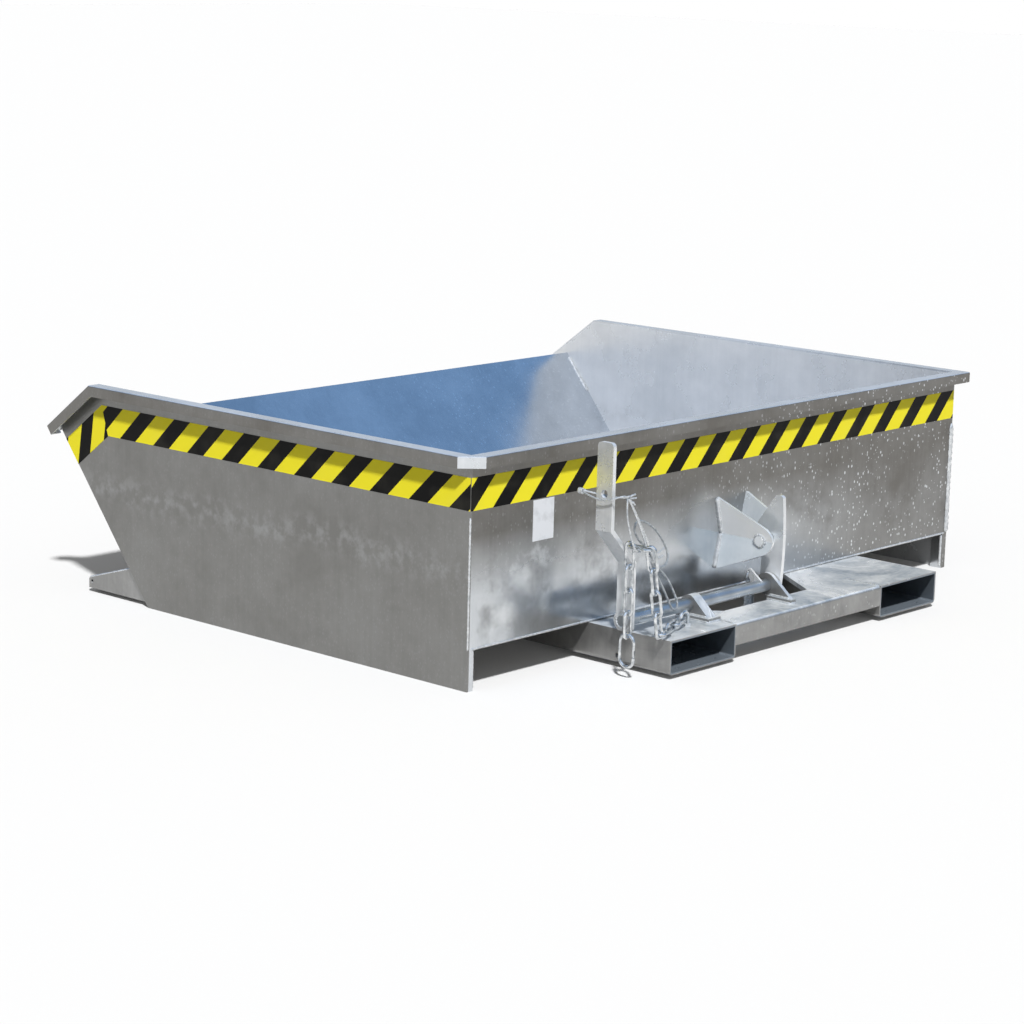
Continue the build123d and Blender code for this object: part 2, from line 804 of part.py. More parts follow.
def snap_frame():
    """The snap hook's own frame: Z up its length, gate on its +X side, which looks to the rear."""
    top_inside = snap_straight / 2 + snap_radius - snap_wire / 2
    centre = snap_centre + falling * (top_inside - link_wire_radius - link_play)
    return Plane(origin=centre, x_dir=along_y * -1, z_dir=along_z)


snap_nose = snap_gate_length / 2
snap_pivot = -snap_nose + snap_gate_wire / 2 + snap_end_gap


def snap_hook_body():
    """Bent wire hook, flattened into a tongue where the gate turns."""
    straight = snap_straight / 2
    path = Line((snap_radius, snap_nose), (snap_radius, straight))
    path += CenterArc((0, straight), snap_radius, 0, 180)
    path += Line((-snap_radius, straight), (-snap_radius, -straight))
    path += CenterArc((0, -straight), snap_radius, 180, 180)
    path += Line((snap_radius, -straight), (snap_radius, -snap_nose))
    path = Plane.XZ * path
    body = sweep(Pos(snap_radius, 0, snap_nose) * Circle(snap_wire / 2), path)
    tongue = block(snap_radius - snap_tongue, snap_radius + snap_tongue, -snap_tongue / 2, snap_tongue / 2,
                   -snap_nose, snap_pivot + snap_gate_wire / 2)
    tongue -= bar_y(snap_rivet / 2 + weld_play, -snap_wire, snap_wire, snap_radius, snap_pivot)
    return body + tongue


def snap_hook_rivet():
    return bar_y(snap_rivet / 2, -snap_gate_wire / 2, snap_gate_wire / 2, snap_radius, snap_pivot)


def snap_hook_gate():
    """Gate with a forked foot over the tongue."""
    top = snap_nose - snap_end_gap
    gate = Pos(snap_radius, 0, (snap_pivot + top) / 2) * Cylinder(snap_gate_wire / 2, top - snap_pivot)
    gate += Pos(snap_radius, 0, snap_pivot) * Sphere(snap_gate_wire / 2)
    fork_top = snap_pivot + 2 * snap_gate_wire
    gate -= block(0, 2 * snap_radius, -snap_slot / 2, snap_slot / 2, snap_pivot - snap_gate_wire, fork_top)
    return gate - bar_y(snap_rivet / 2 + snap_play, -snap_wire, snap_wire, snap_radius, snap_pivot)


# Binding wire and release cable

tilt = radians(ferrule_tilt)
ferrule_centre = Vector(ferrule_x, -cable_back, ferrule_z)
ferrule_up = Vector(sin(tilt), 0, cos(tilt))
ferrule_side = Vector(cos(tilt), 0, -sin(tilt))


def wire_run(points):
    """Straight lengths of binding wire with round joints where they meet."""
    run = Pos(*points[0]) * Sphere(tie_wire / 2)
    for start, end in zip(points[:-1], points[1:]):
        middle = Plane(origin=(start + end) * 0.5, z_dir=end - start)
        run += middle * Cylinder(tie_wire / 2, (end - start).length)
        run += Pos(*end) * Sphere(tie_wire / 2)
    return run


def wire_tie():
    """Wire through the lever's hole that carries the chain, with a strand down to the cable's ferrule."""
    hole_y = lever_y - lever_hole / 2 + tie_wire / 2 + tie_play
    rear_y = lever_y - lever_width / 2 - tie_rear
    top = lever_hole_height - tie_bend
    low = tie_centre.Z - link_wire_radius - tie_wire / 2 - tie_play
    under = link_bend + link_wire_radius + tie_bend
    left = lever_head_x - tie_side
    right = lever_head_x + tie_side
    knot = Vector(right + tie_bend, rear_y, top)
    turn = Vector(chain_x + under, tie_y, low)
    through = Vector(left, hole_y, lever_hole_height)
    loop = [through, Vector(left, rear_y, top), Vector(chain_x - under, tie_y, low), turn, knot,
            Vector(right, hole_y, lever_hole_height), through]
    collar_radius = ferrule_radius + tie_wire / 2 + tie_play
    strand = [knot + (turn - knot) * tie_knot_share,
              ferrule_centre - along_y * (collar_radius + tie_wire / 4)]
    collar = Plane(origin=ferrule_centre, z_dir=ferrule_up) * Torus(collar_radius, tie_wire / 2)
    return wire_run(loop) + wire_run([through, through + along_y * tie_tail]) + wire_run(strand) + collar


def cable_ferrule():
    return Plane(origin=ferrule_centre, z_dir=ferrule_up) * Cylinder(ferrule_radius, ferrule_length)


def bend_radii(points):
    """Large tangent arcs that the route's runs leave room for."""
    radii = []
    for before, here, after in zip(points[:-2], points[1:-1], points[2:]):
        turn = (here - before).get_angle(after - here)
        shorter = min((here - before).length, (after - here).length)
        radii.append(route_arc_share * shorter / tan(radians(turn / 2)))
    return radii


def cable_tube(name, points):
    radii = bend_radii(points)
    path = FilletPolyline(*points, radius=radii)
    tube = sweep(Plane(origin=path @ 0, z_dir=path % 0) * Circle(cable / 2), path)
    print(name, "length", round(path.length, 1), "radii", [round(radius, 1) for radius in radii])
    return tube


# Routes across, up and forward from the ferrule. The upper loop is a ring that goes back into the
# ferrule's lower end, in front of the lower loop's two strands.
upper_route = [(0, 10, 0), (0, 22, 0), (-7, 41, 0), (-10, 58, 0), (-8, 72, 0), (1, 79, 0), (11, 75, 0),
               (20, 63, 0), (30, 46, 0), (37, 20, 0), (39, -6, -1), (33, -25, -4), (18, -33, -6),
               (5, -28, -5), (0.5, -18, -3.2), (0.5, -10, -3.2)]
lower_route = [(2.6, -10, 1.5), (2.6, -24, 1.5), (9, -42, 1), (13, -62, 0), (14, -86, 0), (13, -108, 0),
               (10, -120, 0), (3, -126, 0), (-4, -121, 0), (-6, -108, 0), (-4, -76, 0), (-4, -42, 1),
               (-2.6, -22, 1.5), (-2.6, -10, 1.5)]


def cable_points(route):
    return [ferrule_centre + ferrule_side * p + ferrule_up * q + along_y * r for p, q, r in route]


os.makedirs("parts", exist_ok=True)
side_plate_left = across(side_outline(), -half_width, -inner_half)
save("rear_wall", rear_wall())
save("floor_front_sheet", floor_front_sheet())
save("lip_bar", lip_bar())
save("rim_rear", rear_rim())
save("foot_flats", foot_flats())
for piece, left in (("side_plate", side_plate_left), ("rim", side_rim()), ("tape_side", side_tape()),
                    ("tape_lip", lip_tape())):
    save(f"{piece}_left", left)
    save(f"{piece}_right", mirrored(left))
save("tape_rear", rear_tape())
save("label_blank", label_blank())
for piece, right in (("hinge_leaf", hinge_leaf()), ("fork_pocket", fork_pocket()),
                     ("hinge_pin", hinge_pin_right()), ("split_pin", split_pin_right())):
    save(f"{piece}_left", mirrored(right))
    save(f"{piece}_right", right)
save("catch_cheek_left", Pos(latch_middle, 0, 0) * mirrored(catch_cheek()))
save("catch_cheek_right", Pos(latch_middle, 0, 0) * catch_cheek())
save("catch_pin", catch_bar())
save("rear_cross_member", rear_cross_member())
save("corner_gussets", corner_gussets())
save("wedge_shell", wedge_shell())
save("wedge_rear_plate", wedge_rear_plate())
save("wedge_end_cheeks", wedge_end_cheeks())
save("hinge_ears", hinge_ears())
save("bracket_pads", bracket_pads())
save("shaft_bracket_left", shaft_bracket_left())
save("shaft_bracket_right", shaft_bracket_right())
save("latch_shaft", latch_shaft())
save("latch_hook", latch_hook())
save("release_lever", release_lever())
save("lever_boss", lever_boss())
save("spring_lug", spring_lug())
save("spring_peg", spring_peg_piece())
save("return_spring", return_spring())
save("chain_bow", chain_bow())
save("chain_run", chain_run())
save("chain_tied", chain_tied())
save("snap_hook_body", snap_frame() * snap_hook_body())
save("snap_hook_rivet", snap_frame() * snap_hook_rivet())
save("snap_hook_gate", snap_frame() * snap_hook_gate())
save("wire_tie", wire_tie())
save("cable_ferrule", cable_ferrule())
save("cable_loop_upper", cable_tube("upper loop", cable_points(upper_route)))
save("cable_loop_lower", cable_tube("lower loop", cable_points(lower_route)))
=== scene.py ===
import json
import math
import random

import bmesh
import bpy
from mathutils import Matrix, Vector


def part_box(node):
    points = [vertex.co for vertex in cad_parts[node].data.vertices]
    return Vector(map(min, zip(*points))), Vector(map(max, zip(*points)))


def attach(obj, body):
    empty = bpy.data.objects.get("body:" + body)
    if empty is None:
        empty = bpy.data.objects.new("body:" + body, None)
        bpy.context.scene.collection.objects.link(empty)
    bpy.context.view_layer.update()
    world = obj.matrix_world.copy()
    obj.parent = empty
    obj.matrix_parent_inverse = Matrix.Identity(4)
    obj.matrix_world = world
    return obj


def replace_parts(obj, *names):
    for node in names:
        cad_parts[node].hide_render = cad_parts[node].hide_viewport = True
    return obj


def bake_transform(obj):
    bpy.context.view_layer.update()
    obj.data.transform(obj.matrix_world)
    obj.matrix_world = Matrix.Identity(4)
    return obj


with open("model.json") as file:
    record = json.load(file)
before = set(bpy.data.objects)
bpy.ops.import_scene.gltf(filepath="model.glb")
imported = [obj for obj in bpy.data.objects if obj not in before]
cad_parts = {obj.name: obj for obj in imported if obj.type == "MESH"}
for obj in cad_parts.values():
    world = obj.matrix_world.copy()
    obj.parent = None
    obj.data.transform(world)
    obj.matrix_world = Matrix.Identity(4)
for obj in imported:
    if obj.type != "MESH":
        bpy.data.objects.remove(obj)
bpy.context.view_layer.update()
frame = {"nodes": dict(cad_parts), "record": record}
nodes = frame["nodes"]
bodies = frame["record"]["behaviour"]["bodies"]
scene = bpy.context.scene
print("frame loaded:", len(nodes), "nodes")


# camera at the photograph's standpoint, in metres, degrees and mm
shot = {"place": (-3.9979, -3.4797, 1.2242), "yaw": 48.16, "pitch": -11.59, "roll": 1.44,
        "lens": 99.53, "sensor": 36, "reach": 100}


def setCamera():
    yaw, pitch, roll = (math.radians(shot[key]) for key in ("yaw", "pitch", "roll"))
    ahead = Vector((math.sin(yaw) * math.cos(pitch), math.cos(yaw) * math.cos(pitch), math.sin(pitch)))
    level = Vector((math.cos(yaw), -math.sin(yaw), 0))
    above = level.cross(ahead)
    right = level * math.cos(roll) + above * math.sin(roll)
    up = above * math.cos(roll) - level * math.sin(roll)
    data = bpy.data.cameras.new("camera")
    data.lens = shot["lens"]
    data.sensor_width = shot["sensor"]
    data.clip_end = shot["reach"]
    camera = bpy.data.objects.new("camera", data)
    turn = Matrix((right, up, -ahead)).transposed().to_4x4()
    camera.matrix_world = Matrix.Translation(shot["place"]) @ turn
    scene.collection.objects.link(camera)
    scene.camera = camera


setCamera()
print("camera set")


# node helpers: add makes every node, and the others name its common uses
def linear(code):
    parts = [int(code[i:i + 2], 16) / 255 for i in (1, 3, 5)]
    return tuple(c / 12.92 if c < 0.04045 else ((c + 0.055) / 1.055) ** 2.4 for c in parts) + (1.0,)


def add(tree, kind, inputs=None, **settings):
    made = tree.nodes.new(kind)
    for key, value in settings.items():
        setattr(made, key, value)
    for key, value in (inputs or {}).items():
        if isinstance(value, bpy.types.NodeSocket):
            tree.links.new(value, made.inputs[key])
        else:
            made.inputs[key].default_value = value
    return made


def calc(tree, operation, *values):
    return add(tree, "ShaderNodeMath", dict(enumerate(values)), operation=operation).outputs[0]


def calcAll(tree, operation, first, *others):
    for other in others:
        first = calc(tree, operation, first, other)
    return first


def vector(tree, operation, *values, out="Vector"):
    return add(tree, "ShaderNodeVectorMath", dict(enumerate(values)), operation=operation).outputs[out]


def ramp(tree, value, start, end, low=0.0, high=1.0, shape="LINEAR"):
    inputs = dict(enumerate((value, start, end, low, high)))
    return add(tree, "ShaderNodeMapRange", inputs, interpolation_type=shape).outputs[0]


def mixed(tree, share, first, second):
    return add(tree, "ShaderNodeMix", {0: share, 6: first, 7: second}, data_type="RGBA").outputs[2]


def noise(tree, spot, width, detail, **inputs):
    # width is the lumps' size in mm
    inputs.update({"Vector": spot, "Scale": 1000 / width, "Detail": detail})
    return add(tree, "ShaderNodeTexNoise", inputs).outputs[0]


def stretched(tree, spot, across, along):
    # places in units of across mm sideways and along mm upwards
    scale = [1000 / size for size in (across, across, along)]
    return add(tree, "ShaderNodeMapping", {0: spot, 3: scale}).outputs[0]


def bump(tree, height, strength, distance, **inputs):
    inputs.update({"Height": height, "Strength": strength, "Distance": distance})
    return add(tree, "ShaderNodeBump", inputs).outputs[0]


def objectSpot(tree):
    return add(tree, "ShaderNodeTexCoord").outputs["Object"]


def newMaterial(name):
    material = bpy.data.materials.new(name)
    material.use_nodes = True
    material.node_tree.nodes.clear()
    return material, material.node_tree


def close(tree, shader):
    add(tree, "ShaderNodeOutputMaterial", {"Surface": shader.outputs[0]})


def finishSurface(tree, colour, rough, normal, **inputs):
    inputs = {"Base Color": colour, "Roughness": rough, "Normal": normal, **inputs}
    close(tree, add(tree, "ShaderNodeBsdfPrincipled", inputs))


def dress(names, material):
    for name in names:
        data = nodes[name].data
        data.materials.clear()
        data.materials.append(material)


# mesh helpers, with the rear wall's outer face in mm and the distance in m at which vertices are one
rearFace = round(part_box("rear_wall")[0][1] * 1000, 3)
samePlace = 1e-6


def placed(point):
    # a point of the working drawing, in mm from the rear wall's outer face, in the model's frame
    x, y, z = point
    return Vector((x, y + rearFace, z)) / 1000


def addPiece(name, form, material, body):
    mesh = bpy.data.meshes.new(name)
    form.to_mesh(mesh)
    form.free()
    mesh.shade_smooth()
    mesh.materials.append(material)
    piece = bpy.data.objects.new(name, mesh)
    scene.collection.objects.link(piece)
    if body:
        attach(piece, body)
    return piece


def nodeForm(node):
    form = bmesh.new()
    form.from_mesh(nodes[node].data)
    bmesh.ops.remove_doubles(form, verts=form.verts, dist=samePlace)
    return form


# light: a key lamp from the camera's side and a plain pale fill
light = {"keyPower": 3.9, "keyAngle": 4, "keyFrom": (-0.403, -0.467, 0.786),
         "fill": "#E6E7E8", "fillPower": 0.3}
# what metal mirrors instead: pale at eye level, blue overhead, a soft glow (degrees) where the key is
mirrored = {"level": "#E2E7EB", "overhead": "#93BEF2", "rise": (0.07, 0.48), "power": 0.7,
            "glow": "#FFFBF4", "glowPower": 0.6, "glowEdges": (50, 26)}


def setLamp():
    key = bpy.data.lights.new("key", "SUN")
    key.energy = light["keyPower"]
    key.angle = math.radians(light["keyAngle"])
    lamp = bpy.data.objects.new("key", key)
    lamp.rotation_mode = "QUATERNION"
    lamp.rotation_quaternion = Vector(light["keyFrom"]).to_track_quat("Z", "Y")
    # its mirror image would bleach the whole front wall, seen from the rear right
    lamp.visible_glossy = False
    scene.collection.objects.link(lamp)


def setWorld():
    world = bpy.data.worlds.new("studio")
    world.use_nodes = True
    tree = world.node_tree
    tree.nodes.clear()
    way = add(tree, "ShaderNodeTexCoord").outputs["Generated"]
    height = add(tree, "ShaderNodeSeparateXYZ", {0: way}).outputs["Z"]
    rise = ramp(tree, height, *mirrored["rise"], shape="SMOOTHSTEP")
    sky = mixed(tree, rise, linear(mirrored["level"]), linear(mirrored["overhead"]))
    above = add(tree, "ShaderNodeBackground", {0: sky, 1: mirrored["power"]})
    near = vector(tree, "DOT_PRODUCT", way, Vector(light["keyFrom"]).normalized(), out="Value")
    edges = [math.cos(math.radians(angle)) for angle in mirrored["glowEdges"]]
    strength = ramp(tree, near, *edges, 0.0, mirrored["glowPower"], shape="SMOOTHSTEP")
    glow = add(tree, "ShaderNodeBackground", {0: linear(mirrored["glow"]), 1: strength})
    image = add(tree, "ShaderNodeAddShader", {0: above.outputs[0], 1: glow.outputs[0]})
    fill = add(tree, "ShaderNodeBackground", {0: linear(light["fill"]), 1: light["fillPower"]})
    white = add(tree, "ShaderNodeBackground", {0: (1, 1, 1, 1), 1: 1.0})
    ray = add(tree, "ShaderNodeLightPath").outputs
    shown = fill
    for kind, other in (("Is Glossy Ray", image), ("Is Camera Ray", white)):
        shown = add(tree, "ShaderNodeMixShader", {0: ray[kind], 1: shown.outputs[0], 2: other.outputs[0]})
    add(tree, "ShaderNodeOutputWorld", {0: shown.outputs[0]})
    scene.world = world
    scene.view_settings.view_transform = "Standard"


# floor: matt paint, darker to bounced light than to the camera and to mirrors
floorFacts = {"half": 30.0, "paint": "#E6E6E6", "unseen": "#A9A9A9", "lift": 0.03}


def setFloor():
    form = bmesh.new()
    bmesh.ops.create_grid(form, x_segments=1, y_segments=1, size=floorFacts["half"])
    mesh = bpy.data.meshes.new("studioFloor")
    form.to_mesh(mesh)
    form.free()
    ground = bpy.data.objects.new("studioFloor", mesh)
    scene.collection.objects.link(ground)
    material, tree = newMaterial("matt studio paint")
    ray = add(tree, "ShaderNodeLightPath").outputs
    seen = calc(tree, "MAXIMUM", ray["Is Camera Ray"], ray["Is Glossy Ray"])
    shade = mixed(tree, seen, linear(floorFacts["unseen"]), linear(floorFacts["paint"]))
    paint = add(tree, "ShaderNodeBsdfDiffuse", {0: shade})
    strength = calc(tree, "MULTIPLY", seen, floorFacts["lift"])
    glow = add(tree, "ShaderNodeEmission", {0: (1, 1, 1, 1), 1: strength})
    close(tree, add(tree, "ShaderNodeAddShader", {0: paint.outputs[0], 1: glow.outputs[0]}))
    mesh.materials.append(material)


setLamp()
setWorld()
setFloor()
print("light and floor set")


# hot-dip galvanised sheet: dull grey with drag marks and flecks; faces that look up and the trough's inside
# are painted brighter, as painted light
zincPlain = {"upward": (0.35, 0.8, 0.0, 1.0), "inside": 0.0, "wash": 0.0, "tide": 0.0, "swirl": 0.0,
             "hollow": 0.0}
# dull and bright colours, roughness and metallic share from dull to bright, then the strength of each mask;
# upward is the facing z at which a face starts and ends to be painted brighter, and how far it is painted
# brighter at each
zincLooks = {
    "trough sheet": {"dull": ("#6D6A65", "#868480"), "bright": ("#C4C8CC", "#DCDFE2"), "rough": (0.38, 0.2),
                     "metal": (0.8, 1.0), "inside": 1.0, "wash": 1.0},
    "side plate": {"dull": ("#7D7C79", "#908F8C"), "bright": ("#D2D5D8", "#E9EBED"), "rough": (0.4, 0.28),
                   "metal": (0.75, 0.3), "inside": 1.0, "tide": 0.3},
    "rolled rim": {"dull": ("#6D6A65", "#868480"), "bright": ("#C9CDD1", "#E4E7EA"), "rough": (0.38, 0.26),
                   "metal": (0.8, 0.6), "inside": 1.0},
    "base plate": {"dull": ("#868583", "#A2A19F"), "bright": ("#9FAAB4", "#F7F9FA"), "rough": (0.36, 0.24),
                   "metal": (0.7, 0.3), "upward": (0.35, 0.8, 0.05, 1.0), "swirl": 1.6},
    "latch plate": {"dull": ("#8F9396", "#ABAFB2"), "bright": ("#D2D6D9", "#FAFBFC"), "rough": (0.34, 0.26),
                    "metal": (0.7, 0.5), "upward": (0.35, 0.8, 0.9, 1.0)},
    # painted reflection: the catch's down-facing faces are painted brighter, for the lit ground they mirror
    "catch plate": {"dull": ("#BFC9D1", "#DCE3E8"), "bright": ("#F6F8F9", "#FFFFFF"), "rough": (0.26, 0.2),
                    "metal": (0.35, 0.05), "upward": (-0.1, 0.1, 1.0, 0.1)},
}
zincLooks["fork pocket"] = {**zincLooks["base plate"], "hollow": 1.0}
# mm: width of clouds and mottles, width and length of drag marks, width of the sheet's buckles
grain = {"cloud": 170, "mottle": 26, "mark": 7, "markLength": 260, "buckle": 330}
# how far mottles and marks add to the clouds, the levels at which a pair of colours starts and ends,
# and the facing y below which a face looks to the rear
shading = {"mottle": 0.3, "mark": 0.18, "levels": (0.55, 0.93), "rearward": -0.5}
# how clouds and the painted reflection round the catch change the roughness, and the strength and height in
# m of buckles and grain
gloss = {"clouds": (0.3, 0.75), "change": (-0.06, 0.08), "thick": -0.12}
relief = {"buckle": (0.3, 0.006), "grain": (0.1, 0.002)}


def zincSkin(tree, look):
    # what the masks read: place, facing, and the sheet's clouds, mottles and marks
    here = add(tree, "ShaderNodeTexCoord").outputs
    place = add(tree, "ShaderNodeSeparateXYZ", {0: here["Object"]}).outputs
    facing = add(tree, "ShaderNodeSeparateXYZ", {0: here["Normal"]}).outputs
    skin = {"spot": here["Object"], "normal": here["Normal"], "x": place["X"], "z": place["Z"],
            "faceX": facing["X"], "faceY": facing["Y"], "faceZ": facing["Z"]}
    skin["rearward"] = calc(tree, "LESS_THAN", skin["faceY"], shading["rearward"])
    spot, swirl = skin["spot"], look["swirl"]
    skin["cloud"] = noise(tree, spot, grain["cloud"], detail=5.0, Roughness=0.6, Distortion=swirl)
    skin["mottle"] = noise(tree, spot, grain["mottle"], detail=4.0, Roughness=0.6)
    drag = stretched(tree, spot, grain["mark"], grain["markLength"])
    marks = add(tree, "ShaderNodeTexNoise", {"Vector": drag, "Scale": 1.0, "Detail": 3.0}).outputs[0]
    drawn = calc(tree, "MULTIPLY_ADD", marks, shading["mark"], skin["cloud"])
    skin["shade"] = calc(tree, "MULTIPLY_ADD", skin["mottle"], shading["mottle"], drawn)
    return skin


# painted light: a face is painted brighter where it looks up or into the trough, and on plates across a
# corner, by their normal's x times y
troughMiddle = placed((0, 400, 300))
cornerPlate = {"products": (0.5, -0.5), "slack": 0.2}


def paintedLightMask(tree, skin, look):
    top = ramp(tree, skin["faceZ"], *look["upward"])
    inward = vector(tree, "SUBTRACT", troughMiddle, skin["spot"])
    turned = vector(tree, "DOT_PRODUCT", inward, skin["normal"], out="Value")
    inside = calc(tree, "MULTIPLY", calc(tree, "GREATER_THAN", turned, 0.0), look["inside"])
    askew = calc(tree, "MULTIPLY", skin["faceX"], skin["faceY"])
    slack = cornerPlate["slack"]
    corners = [calc(tree, "COMPARE", askew, product, slack) for product in cornerPlate["products"]]
    return calcAll(tree, "MAXIMUM", top, inside, *corners)


# washed patches low on the left of the rear wall, in m upwards and across and in levels of cloud
washPatch = {"height": (0.26, 0.16), "clouds": (0.24, 0.46), "across": (0.4, -0.05), "share": (0.15, 0.95)}


def washMask(tree, skin, look):
    low = ramp(tree, skin["z"], *washPatch["height"], 0.0, look["wash"])
    patch = ramp(tree, skin["cloud"], *washPatch["clouds"])
    leftward = ramp(tree, skin["x"], *washPatch["across"], *washPatch["share"])
    return calcAll(tree, "MULTIPLY", low, patch, leftward, skin["rearward"])


# painted reflection: the rear wall is painted brighter and smoother in a ring round the welded catch,
# between two distances in m
catchReflectionSpot = {"middle": placed((-85, 0, 178)), "edges": (0.016, 0.104)}


def paintedCatchReflection(tree, skin):
    away = vector(tree, "DISTANCE", skin["spot"], catchReflectionSpot["middle"], out="Value")
    ring = ramp(tree, away, *catchReflectionSpot["edges"], 1.0, 0.0, shape="SMOOTHSTEP")
    return calc(tree, "MULTIPLY", ring, skin["rearward"])


# small white blooms on the left of the rear wall: x, z and reach in mm, with edges that follow the mottles
blooms = {"spots": [(-525, 205, 30), (-510, 125, 26), (-610, 115, 44), (-575, 175, 36), (-450, 85, 34)],
          "ragged": 0.09, "strength": 0.6}


def bloomMask(tree, skin, look):
    inner = -blooms["ragged"] / 2
    found = []
    for x, z, reach in blooms["spots"]:
        away = vector(tree, "DISTANCE", skin["spot"], placed((x, 0, z)), out="Value")
        ragged = calc(tree, "MULTIPLY_ADD", skin["mottle"], -blooms["ragged"], away)
        strength = look["wash"] * blooms["strength"]
        found.append(ramp(tree, ragged, inner, inner + reach / 1000, strength, 0.0, shape="SMOOTHSTEP"))
    return calc(tree, "MULTIPLY", calcAll(tree, "MAXIMUM", *found), skin["rearward"])


# a blotchy tide mark on the side plates: height, sway and fading edge in m
tideMark = {"height": 0.24, "sway": 0.08, "edge": (0.004, 0.035), "mottles": (0.46, 0.62),
            "colour": "#B4B5B6"}


def tideMask(tree, skin, look):
    swung = calc(tree, "MULTIPLY_ADD", skin["cloud"], tideMark["sway"], skin["z"])
    gap = calc(tree, "ABSOLUTE", calc(tree, "SUBTRACT", swung, tideMark["height"]))
    band = ramp(tree, gap, *tideMark["edge"], look["tide"], 0.0)
    blotch = ramp(tree, skin["mottle"], *tideMark["mottles"])
    return calc(tree, "MULTIPLY", band, blotch)


# flecks of zinc a little longer than wide (mm), of uneven size, crowded at the right of the rear wall (m)
flecks = {"across": 5.5, "along": 8.5, "chosen": (0.3, 1.0), "largest": 0.42, "edge": 0.1,
          "clouds": (0.34, 0.5), "rightward": (-0.1, 0.3), "share": (0.12, 0.8), "elsewhere": 0.04,
          "colour": "#EDF0F2"}


def fleckMask(tree, skin):
    cell = stretched(tree, skin["spot"], flecks["across"], flecks["along"])
    cells = add(tree, "ShaderNodeTexVoronoi", {"Vector": cell, "Scale": 1.0, "Randomness": 1.0}).outputs
    luck = add(tree, "ShaderNodeSeparateXYZ", {0: cells["Color"]}).outputs["X"]
    size = ramp(tree, luck, *flecks["chosen"], 0.0, flecks["largest"])
    dot = ramp(tree, calc(tree, "SUBTRACT", size, cells["Distance"]), 0.0, flecks["edge"])
    crowd = ramp(tree, skin["cloud"], *flecks["clouds"])
    rightward = ramp(tree, skin["x"], *flecks["rightward"], *flecks["share"])
    behind = calc(tree, "MULTIPLY", rightward, skin["rearward"])
    spread = calc(tree, "MAXIMUM", behind, flecks["elsewhere"])
    return calcAll(tree, "MULTIPLY", dot, crowd, spread)


# painted shade: the fork pockets' insides are painted a darker bluish grey, all that lies a little way in
# from a pocket's box
paintedPocketShade = {"inset": (0.0025, 0.0015), "colour": "#7D868F"}


def pocketShadeMask(tree, skin, look):
    low, high = (Vector(corner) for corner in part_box("fork_pocket_right"))
    middle, half = (low + high) / 2, (high - low) / 2
    insetX, insetZ = paintedPocketShade["inset"]
    nearer = calc(tree, "COMPARE", calc(tree, "ABSOLUTE", skin["x"]), middle.x, half.x - insetX)
    lower = calc(tree, "COMPARE", skin["z"], middle.z, half.z - insetZ)
    return calcAll(tree, "MULTIPLY", nearer, lower, look["hollow"])


def zinc(name, look):
    material, tree = newMaterial("galvanised " + name)
    skin = zincSkin(tree, look)
    level = ramp(tree, skin["shade"], *shading["levels"])
    dull, bright = (mixed(tree, level, *(linear(code) for code in look[key])) for key in ("dull", "bright"))
    # painted reflection of the catch in the rear wall
    thick = paintedCatchReflection(tree, skin)
    # the bright colours go on the painted light, the painted reflection round the catch and the washed
    # patches
    paintedLightAndWash = calcAll(tree, "MAXIMUM", paintedLightMask(tree, skin, look), thick, washMask(tree, skin, look))
    tone = mixed(tree, paintedLightAndWash, dull, bright)
    tided = mixed(tree, tideMask(tree, skin, look), tone, linear(tideMark["colour"]))
    speck = calc(tree, "MAXIMUM", fleckMask(tree, skin), bloomMask(tree, skin, look))
    flecked = mixed(tree, speck, tided, linear(flecks["colour"]))
    # painted shade inside the fork pockets
    colour = mixed(tree, pocketShadeMask(tree, skin, look), flecked, linear(paintedPocketShade["colour"]))
    smooth = ramp(tree, paintedLightAndWash, 0.0, 1.0, *look["rough"])
    cloudy = ramp(tree, skin["cloud"], *gloss["clouds"], *gloss["change"])
    rough = calc(tree, "MULTIPLY_ADD", thick, gloss["thick"], calc(tree, "ADD", smooth, cloudy))
    metal = ramp(tree, paintedLightAndWash, 0.0, 1.0, *look["metal"])
    buckle = bump(tree, noise(tree, skin["spot"], grain["buckle"], detail=2.0), *relief["buckle"])
    normal = bump(tree, skin["shade"], *relief["grain"], Normal=buckle)
    finishSurface(tree, colour, rough, normal, Metallic=metal)
    return material


zincs = {name: zinc(name, {**zincPlain, **look}) for name, look in zincLooks.items()}
dress(bodies["hopper"], zincs["trough sheet"])
dress(["side_plate_left", "side_plate_right"], zincs["side plate"])
dress(["rim_rear", "rim_left", "rim_right"], zincs["rolled rim"])
dress(bodies["base"], zincs["base plate"])
dress(["fork_pocket_left", "fork_pocket_right"], zincs["fork pocket"])
dress(bodies["latch"] + bodies["snap_gate"], zincs["latch plate"])
dress(["catch_cheek_left", "catch_pin"], zincs["catch plate"])


# smooth metals: electroplated links and wire that mirror more, with faint dull clouds (mm) and rubbed spots
metals = {
    "zinc plated chain": {"from": "#9FA4A8", "to": "#F4F6F7", "rough": 0.15, "cloud": 9, "metal": 0.9},
    "zinc plated turned steel": {"from": "#A3A8AC", "to": "#CFD4D7", "rough": 0.28, "cloud": 60,
                                 "metal": 0.9},
    "galvanised binding wire": {"from": "#B4B8BB", "to": "#ECEEEF", "rough": 0.28, "cloud": 6, "metal": 0.6},
    "galvanised rope wire": {"from": "#989DA1", "to": "#D8DCDE", "rough": 0.28, "cloud": 5, "metal": 0.75},
    "pressed aluminium": {"from": "#B3B6B8", "to": "#D6D8D9", "rough": 0.36, "cloud": 7, "metal": 0.9},
    "zinc over weld bead": {"from": "#B9BDC0", "to": "#EBEDEE", "rough": 0.3, "cloud": 8, "metal": 0.55},
}
rubbed = {"levels": (0.3, 0.7), "rough": (0.1, -0.05), "relief": (0.15, 0.0008)}


